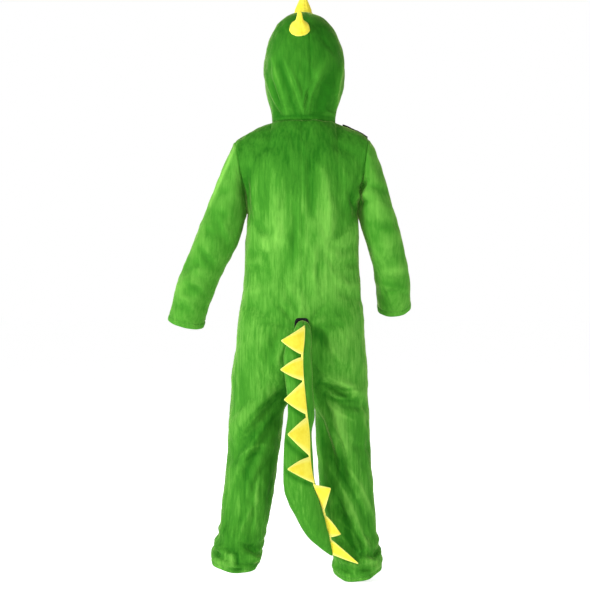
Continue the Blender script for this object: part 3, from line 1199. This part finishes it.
def buildTailSpike(name, spike):
    middle = (spike["from"] + spike["to"]) / 2
    foot, over, out = [part[0] for part in outOf(middle)]
    lean = math.radians(spike["lean"])
    reach = over * spike["side"] * math.cos(lean) + out * math.sin(lean)
    way = tailFrame(np.array([middle]))[1][0]
    point = foot + reach * spike["out"] + way * spike["along"]
    sheer = np.cross(reach, way)
    sheer = sheer / np.linalg.norm(sheer) * (1 if sheer[1] > 0 else -1)
    v = np.linspace(0, 1, felt["steps"] + 1)
    t = bunched(felt["rows"], 0, 0.5)[:, None, None]
    skin, _, lift = outOf(between(spike["from"], spike["to"], v))
    start = skin + lift * (felt["thickness"] / 2 * math.cos(lean) + felt["seat"]) - reach * felt["sunk"]
    sideways = unit(skin[-1] - skin[0])
    belly = np.where(v < 0.5, -spike["upper"] * (1 - 2 * v), spike["lower"] * (2 * v - 1))[None, :, None]
    points = start[None] * (1 - t) + point * t
    points = points + sideways * belly * np.sin(math.pi * np.clip(t, 0, 1))
    points = points + (v - 0.5)[None, :, None] * sideways * 2.4 * t
    wave = 0.8 * np.sin(v * 5 + spike["from"] * 40)[None, :, None] * t * (1 - t) * 4
    points = points + sheer * (felt["curl"] * np.sin(math.pi * t) + wave)
    grid = makeGrid(points, 1)
    normals = findNormals(grid)
    if (normals[3, 3] * sheer).sum() < 0:
        grid["facing"] = -1
        normals = -normals
    edge = np.maximum(np.abs(2 * v - 1)[None, :], np.linspace(0, 1, felt["rows"] + 1)[:, None] ** 3)
    thick = (felt["thickness"] / 2 * (1 - 0.25 * edge ** 6))[..., None]
    grid["points"] = points + normals * thick
    grid["inner"] = points - normals * thick
    mesh = wallMesh(name, grid, {"near": 1, "far": 1, "top": 1})
    onePaint(mesh)
    rim = np.ones(len(mesh.vertices), np.float32)
    rim[:2 * edge.size] = np.tile(edge.ravel(), 2)
    setValues(mesh, "rim", rim)
    line = points + normals * (thick + 0.15)
    return addObject(mesh, [paints["felt"]], merge=False), line


# Stuffed felt spikes on the hood.
hoodSpikes = [
    {"place": "crown", "x": -3, "y": -4, "radius": 21, "length": 54, "rise": 84},
    {"place": "back", "x": 6, "z": 207, "slope": 0.72, "radius": 23, "length": 50, "rise": 50},
]
coneProfiles = {
    "crown": {
        "height": [0, 0.05, 0.1, 0.17, 0.26, 0.36, 0.48, 0.62, 0.78, 0.9, 1.0],
        "radius": [1.02, 1.04, 0.98, 0.94, 0.84, 0.72, 0.58, 0.44, 0.32, 0.22, 0.06],
    },
    "back": {
        "height": [0, 0.05, 0.1, 0.18, 0.27, 0.36, 0.46, 0.56, 0.7, 0.85, 0.95, 1.0],
        "radius": [1.02, 1.03, 0.98, 0.95, 0.84, 0.64, 0.44, 0.35, 0.29, 0.23, 0.15, 0.05],
    },
}
cone = {
    "around": 56,
    "rings": 48,
    "settle": 0.4,
    "sunk": 0.8,
    "seamTurn": 1.9,
    "seamDepth": 1.3,
    "tieHeight": 0.1,         # drawn in here, above the root
    "tieDepth": 1.1,
    "foldTurn": 1.3,
    "foldHeight": 0.23,
    "foldDepth": 1.5,
}


def hoodShare(x, y):
    table = hood["table"]
    across = np.abs(x) / np.where(x > 0, table["left"][-1], table["right"][-1])
    deep = np.abs(y) / np.where(y > 0, table["back"][-1], table["front"][-1])
    return (across ** suit["sectionPower"] + deep ** suit["sectionPower"]) ** (1 / suit["sectionPower"])


def crownPoint(x, y):
    rise = (1 - hoodShare(x, y) ** hood["eggPower"]) ** (1 / hood["eggPower"])
    return spot(x, y, between(hood["wide"], hood["top"], rise))


def hoodBackPoint(x, z):
    rise = (z - hood["wide"]) / (hood["top"] - hood["wide"])
    share = (1 - rise ** hood["eggPower"]) ** (1 / hood["eggPower"])
    across = np.abs(x) / np.where(x > 0, hood["table"]["left"][-1], hood["table"]["right"][-1])
    power = suit["sectionPower"]
    return spot(x, hood["table"]["back"][-1] * (share ** power - across ** power) ** (1 / power), z)


def buildHoodSpike(name, spike):
    rise = math.radians(spike["rise"])
    axis = np.array([0, math.cos(rise), math.sin(rise)])
    over = np.array([0, math.sin(rise), -math.cos(rise)])
    across = np.array([1.0, 0, 0])

    def onHood(side, down):
        if spike["place"] == "crown":
            return crownPoint(spike["x"] + side, spike["y"] + down) - axis * cone["sunk"]
        return hoodBackPoint(spike["x"] + side, spike["z"] - down * spike["slope"]) - axis * cone["sunk"]

    height = bunched(cone["rings"], 0.7, 0.5)[:, None]
    turn = (np.arange(cone["around"]) / cone["around"] * 2 * math.pi)[None, :]
    seam = (turn - cone["seamTurn"] + math.pi) % (2 * math.pi) - math.pi
    radius = spike["radius"] * lookUp(coneProfiles[spike["place"]], "height", height, "radius")
    radius = radius - cone["seamDepth"] * np.exp(-((seam / 0.12) ** 2)) * (1 - smooth(height, 0.9, 1))
    radius = radius - cone["tieDepth"] * np.exp(-(((height - cone["tieHeight"]) / 0.02) ** 2))
    fold = cone["foldDepth"] * np.exp(-(((turn - cone["foldTurn"]) / 0.7) ** 2))
    radius = radius - fold * np.exp(-(((height - cone["foldHeight"]) / 0.03) ** 2))
    radius = radius + 0.35 * np.sin(turn * 11 + height * 9) * np.exp(-((height / 0.2) ** 2))
    side = np.cos(turn) * radius
    down = np.sin(turn) * radius
    seat = onHood(np.zeros(1), np.zeros(1))[0]
    leave = smooth(height, 0, cone["settle"])[..., None]
    up = axis * spike["length"] * height[..., None]
    free = seat + up + across * side[..., None] + over * down[..., None]
    points = between(onHood(side, down), free, leave) + up * (1 - leave)
    count = cone["around"]
    base = points.size // 3
    ids = np.arange(base).reshape(-1, count)
    tip = seat + axis * spike["length"] * 1.02
    lift = axis * (cone["sunk"] + 0.2)
    under = [onHood(side[0] * share, down[0] * share) + lift for share in (0.8, 0.4)]
    spots = np.concatenate([points.reshape(-1, 3), seat[None] + lift, tip[None]] + under)
    rings = [ids[0], base + 2 + np.arange(count), base + 2 + count + np.arange(count)]
    faces = tubeFaces(ids) + tubeFaces(np.stack(rings[1::-1])) + tubeFaces(np.stack(rings[:0:-1]))
    faces += fanFaces(base, rings[2], True) + fanFaces(base + 1, ids[-1])
    mesh = bpy.data.meshes.new(name)
    mesh.from_pydata((spots / 1000).tolist(), [], faces)
    rim = np.zeros(len(spots), np.float32)
    rim[:base] = (np.exp(-((height / 0.07) ** 2)) * np.ones_like(turn)).ravel()
    setValues(mesh, "rim", rim)
    ring = np.argmin(np.abs(height[:, 0] - cone["tieHeight"]))
    outward = unit(points[ring] - points[ring].mean(0))
    return addObject(mesh, [paints["felt"]], merge=False), points[ring] + outward * 0.3


def buildStrip(name, start, end, side, leanFrom, leanTo):
    # the narrow band of felt that the spikes are cut from, caught in the tail's seam
    s = np.linspace(start, end, 220)
    skin, over, out = outOf(s)
    lean = np.radians(between(leanFrom, leanTo, smooth(s, start, end)))[:, None]
    reach = over * side * np.cos(lean) + out * np.sin(lean)
    across = out * np.cos(lean) - over * side * np.sin(lean)
    foot = skin + out * (felt["thickness"] / 2 * np.cos(lean) + felt["seat"])
    share = np.linspace(-1.4, 1.7, 6)[None, :, None]
    middle = foot[:, None] + reach[:, None] * share
    grid = makeGrid(middle + across[:, None] * (felt["thickness"] / 2 + 0.1), 1)
    grid["inner"] = middle - across[:, None] * (felt["thickness"] / 2 - 0.1)
    if (findNormals(grid)[100, 3] * across[100]).sum() < 0:
        grid["facing"] = -1
    mesh = wallMesh(name, grid, {"near": 1, "far": 1})
    onePaint(mesh)
    setValues(mesh, "rim", np.full(len(mesh.vertices), 0.8, np.float32))
    return addObject(mesh, [paints["felt"]], merge=False)


strips = {1: buildStrip("tail_strip_upper", 0.052, 0.731, 1, 12, 5),
          6: buildStrip("tail_strip_lower", 0.736, 1.0, -1, 58, 88)}
spikeLines = []
for number, spike in enumerate(tailSpikes, 1):
    name = "tail_spike_" + str(number)
    shown[name], line = buildTailSpike(name + "_felt", spike)
    spikeLines.append(line)
coneLines = []
for number, spike in enumerate(hoodSpikes, 1):
    name = "hood_spike_" + str(number)
    shown[name], line = buildHoodSpike(name + "_felt", spike)
    coneLines.append(line)
print("tail and spikes built")


def buildTailTape():
    # a patch with round corners that carries the tail
    centreX = (tape["left"] - tape["right"]) / 2
    centreZ = (tape["top"] + tape["bottom"]) / 2
    turn = (np.arange(64) / 64 * 2 * math.pi)[None, :]
    share = np.linspace(1, 0, tape["cells"] + 1)[:, None]

    def squash(value):
        return np.sign(value) * np.abs(value) ** tape["squareness"]

    x = centreX + (tape["left"] + tape["right"]) / 2 * share * squash(np.cos(turn))
    z = centreZ + (tape["top"] - tape["bottom"]) / 2 * share * squash(np.sin(turn))
    face = lookUp(torsoTable, "z", z, "back") + tape["clear"]
    grid = makeGrid(spot(x, face + tape["thickness"], z), 1, True)
    grid["inner"] = spot(x, face, z)
    if findNormals(grid)[2, 3, 1] < 0:
        grid["facing"] = -1
    mesh = wallMesh("tail_tape_patch", grid, {"bottom": 1}, poleTop=True)
    onePaint(mesh)
    return addObject(mesh, [paints["tape"]]), grid["points"][1] + np.array([0, 0.2, 0])


strap = {"start": 7.7 / 14, "end": 13.7 / 14, "reach": 0.88, "top": 1.9, "under": 0.3, "rise": 3.1}


def buildShoulderTape():
    grid = cloth["front_right"]["grid"]
    used = armholeW > strap["reach"]
    rows = np.arange(len(armholeW))[used] - len(armholeW)
    picked = (panelU >= strap["start"]) & (panelU <= strap["end"])
    points = grid["points"][rows][:, picked]
    normals = grid["normals"][rows][:, picked]
    rise = (smooth(armholeW[used], 0.93, 1) * strap["rise"])[:, None, None] * np.array([0, 0.35, 1.0])
    strip = makeGrid(points + normals * strap["top"] + rise, grid["facing"])
    strip["inner"] = points + normals * strap["under"] + rise
    mesh = wallMesh("shoulder_tape_strip", strip, {"bottom": 1, "top": 1, "near": 1, "far": 1})
    onePaint(mesh)
    return addObject(mesh, [paints["tape"]]), [strip["points"][1] + normals[1] * 0.2,
                                             strip["points"][-2] + normals[-2] * 0.2]


shown["tail_tape"], tailTapeLine = buildTailTape()
shown["shoulder_tape"], shoulderTapeLines = buildShoulderTape()


# Stitches: small rounded threads set along lines on the cloth.
def stitchTree():
    tree = bpy.data.node_groups.new("stitch_line", "GeometryNodeTree")
    face = tree.interface
    face.new_socket("Line", in_out="INPUT", socket_type="NodeSocketGeometry")
    for name, value in [("Spacing", 0.004), ("Stitch Length", 0.0028), ("Thread Radius", 0.0003)]:
        face.new_socket(name, in_out="INPUT", socket_type="NodeSocketFloat").default_value = value
    face.new_socket("Seed", in_out="INPUT", socket_type="NodeSocketInt").default_value = 7
    face.new_socket("Thread", in_out="INPUT", socket_type="NodeSocketMaterial")
    face.new_socket("Stitches", in_out="OUTPUT", socket_type="NodeSocketGeometry")
    given = addNode(tree, "NodeGroupInput").outputs
    points = addNode(tree, "GeometryNodeCurveToPoints", {"mode": "LENGTH"}, {
        "Curve": given["Line"], "Length": given["Spacing"]}).outputs
    turn = addNode(tree, "FunctionNodeAlignRotationToVector", {"axis": "Z"}, {
        "Vector": points["Tangent"]})
    thread = addNode(tree, "GeometryNodeMeshUVSphere", inputs={"Segments": 6, "Rings": 5, "Radius": 1})
    half = addNode(tree, "ShaderNodeMath", {"operation": "MULTIPLY"}, {0: given["Stitch Length"], 1: 0.5})
    uneven = addNode(tree, "FunctionNodeRandomValue", inputs={2: 0.85, 3: 1.1, "Seed": given["Seed"]})
    length = addNode(tree, "ShaderNodeMath", {"operation": "MULTIPLY"}, {
        0: half.outputs[0], 1: uneven.outputs[1]})
    thick = given["Thread Radius"]
    size = addNode(tree, "ShaderNodeCombineXYZ", inputs={0: thick, 1: thick, 2: length.outputs[0]})
    place = addNode(tree, "GeometryNodeInstanceOnPoints", inputs={
        "Points": points["Points"], "Instance": thread.outputs["Mesh"],
        "Rotation": turn.outputs["Rotation"], "Scale": size.outputs[0]})
    real = addNode(tree, "GeometryNodeRealizeInstances", inputs={"Geometry": place.outputs["Instances"]})
    paint = addNode(tree, "GeometryNodeSetMaterial", inputs={
        "Geometry": real.outputs["Geometry"], "Material": given["Thread"]})
    addNode(tree, "NodeGroupOutput", inputs={0: paint.outputs["Geometry"]})
    return tree


stitching = stitchTree()


stitch = {"share": 0.72, "radius": 0.28, "seed": 7}    # stitch length as a share of the spacing


def sew(name, lines, thread, spacing, closed):
    curve = bpy.data.curves.new(name + "_line", "CURVE")
    curve.dimensions = "3D"
    for line in lines:
        spline = curve.splines.new("POLY")
        spline.points.add(len(line) - 1)
        flat = np.concatenate([line / 1000, np.ones((len(line), 1))], 1)
        spline.points.foreach_set("co", flat.astype(np.float32).ravel())
        spline.use_cyclic_u = closed
    guide = linkObject(name + "_line", curve)
    sewn = guide.modifiers.new("stitches", "NODES")
    sewn.node_group = stitching
    chosen = {"Spacing": spacing / 1000, "Stitch Length": spacing * stitch["share"] / 1000,
              "Thread Radius": stitch["radius"] / 1000, "Seed": stitch["seed"], "Thread": thread}
    for item in stitching.interface.items_tree:
        if item.in_out == "INPUT" and item.name in chosen:
            sewn[item.identifier] = chosen[item.name]
    graph = bpy.context.evaluated_depsgraph_get()
    mesh = bpy.data.meshes.new_from_object(guide.evaluated_get(graph), depsgraph=graph)
    mesh.name = name
    bpy.data.objects.remove(guide)
    mesh.polygons.foreach_set("use_smooth", [True] * len(mesh.polygons))
    return linkObject(name, mesh)


def lineAt(grid, distance, width, lift, along=0):
    # the line on a grid that lies a distance from its edge
    points = grid["points"]
    best = np.argmin(np.abs(distance - width), axis=along)
    other = np.arange(points.shape[1 - along])
    where = (best, other) if along == 0 else (other, best)
    return points[where] + grid["normals"][where] * lift


stitches = {}
for side in sides:
    hems = []
    for face in ("back", "front"):
        grid = cloth[face + "_" + side]["grid"]
        hems.append(lineAt(grid, wayFrom(grid["points"], 0), suit["legHem"], 0.1))
    stitches["hem_stitches_" + side] = (hems, "greenThread", 3.6, False, "back_" + side)
    grid = cloth["sleeve_" + side]["grid"]
    cuff = lineAt(grid, wayFrom(grid["points"], 0, True), suit["cuffHem"], 0.1)
    stitches["cuff_stitches_" + side] = ([cuff], "greenThread", 3.6, True, "sleeve_" + side)
    grid = cloth["hood_" + side]["grid"]
    edge = lineAt(grid, wayFrom(grid["points"], 1, True), suit["faceHem"], 0.1, 1)
    used = grid["faceEdge"][:, 0] > 0.5
    used[:6] = False
    stitches["face_stitches_" + side] = ([edge[used]], "greenThread", 3.6, False, "hood_" + side)
tailLine = np.linspace(0.05, 0.985, 260)
skin, over, out = outOf(tailLine)
stitches["tail_stitches"] = ([skin + out * -2.6 + over * 2.0, skin + out * -2.6 - over * 2.0],
                             "greenThread", 4.2, False, "tail")
stitches["tail_tape_stitches"] = ([tailTapeLine], "blackThread", 3.0, True, "tail_tape")
stitches["shoulder_tape_stitches"] = (shoulderTapeLines, "blackThread", 3.0, False, "shoulder_tape")
for number, line in enumerate(spikeLines, 1):
    rows = line[3:-2]
    edges = [line[2, 1:-1], rows[:, 1], rows[:, -2]]
    owner = "tail_spike_" + str(number)
    stitches["spike_stitches_" + str(number)] = (edges, "yellowThread", 3.4, False, owner)
for number, line in enumerate(coneLines, 1):
    owner = "hood_spike_" + str(number)
    stitches["cone_stitches_" + str(number)] = ([line], "yellowThread", 3.4, True, owner)
threads = {}
for name, (lines, thread, spacing, closed, owner) in stitches.items():
    threads[name] = sew(name, lines, paints[thread], spacing, closed)
print("stitches sewn")

for name, piece in shown.items():
    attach(piece, "root")
    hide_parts(name)
    if "spike" in name:
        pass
    elif "tape" in name:
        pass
    else:
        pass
for number, strip in strips.items():
    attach(strip, "root")
for name, (lines, thread, spacing, closed, owner) in stitches.items():
    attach(threads[name], "root")
sewnOn = {owner: threads[name] for name, (lines, thread, spacing, closed, owner) in stitches.items()}
for name, cut in cuts.items():
    [sewnOn[name]] if name in sewnOn else []
for number, spike in enumerate(tailSpikes, 1):
    name = "tail_spike_" + str(number)
    number in strips
print("pieces declared")

# Floor, lights and camera
stage = {"floor": -1.0705, "reach": 40, "glow": 0.72, "world": 0.34}
floorMesh = bpy.data.meshes.new("floor")
reach = stage["reach"]
floorMesh.from_pydata([(-reach, -reach, stage["floor"]), (reach, -reach, stage["floor"]),
                       (reach, reach, stage["floor"]), (-reach, reach, stage["floor"])], [], [(0, 1, 2, 3)])
floor = linkObject("floor", floorMesh)
floorPaint = Paint("pale_floor")
floorMesh.materials.append(floorPaint.finish(
    baseColor=(0.8, 0.8, 0.8, 1), roughness=0.9, glow=(1, 1, 1, 1), glowStrength=stage["glow"]))

world = bpy.data.worlds.new("studio")
bpy.context.scene.world = world
world.use_nodes = True
tree = world.node_tree
tree.nodes.clear()
shades = [addNode(tree, "ShaderNodeBackground", inputs={"Color": (1, 1, 1, 1), "Strength": strength})
          for strength in (stage["world"], 1.0)]
rays = addNode(tree, "ShaderNodeLightPath")
chosen = addNode(tree, "ShaderNodeMixShader", inputs={
    0: rays.outputs["Is Camera Ray"], 1: shades[0].outputs[0], 2: shades[1].outputs[0]})
addNode(tree, "ShaderNodeOutputWorld", inputs={"Surface": chosen.outputs[0]})

lamps = [
    {"name": "key", "place": (2.6, 2.0, 0.9), "aim": (0, 0, -0.5), "size": 0.8, "power": 92},
    {"name": "fill", "place": (-2.4, 2.6, -0.4), "aim": (0, 0, -0.5), "size": 1.6, "power": 24},
    {"name": "low", "place": (0.2, 3.4, -0.9), "aim": (0, 0, -0.5), "size": 1.4, "power": 20},
    {"name": "front", "place": (1.4, -3.0, 0.5), "aim": (0, 0, -0.5), "size": 1.6, "power": 60},
]
for lamp in lamps:
    light = bpy.data.lights.new(lamp["name"], "AREA")
    light.energy = lamp["power"]
    light.size = lamp["size"]
    holder = linkObject(lamp["name"], light)
    holder.visible_camera = False
    holder.location = lamp["place"]
    aim = Vector(lamp["aim"]) - Vector(lamp["place"])
    holder.rotation_euler = aim.to_track_quat("-Z", "Y").to_euler()

view = {"lens": 100, "sensor": 36, "place": (0.0165, 3.86, -0.406), "turn": (math.pi / 2, 0, math.pi)}
camera = bpy.data.cameras.new("camera")
camera.lens = view["lens"]
camera.sensor_width = view["sensor"]
camera.clip_end = 200
viewer = linkObject("camera", camera)
viewer.location = view["place"]
viewer.rotation_euler = view["turn"]
bpy.context.scene.camera = viewer
bpy.context.scene.view_settings.view_transform = "Standard"
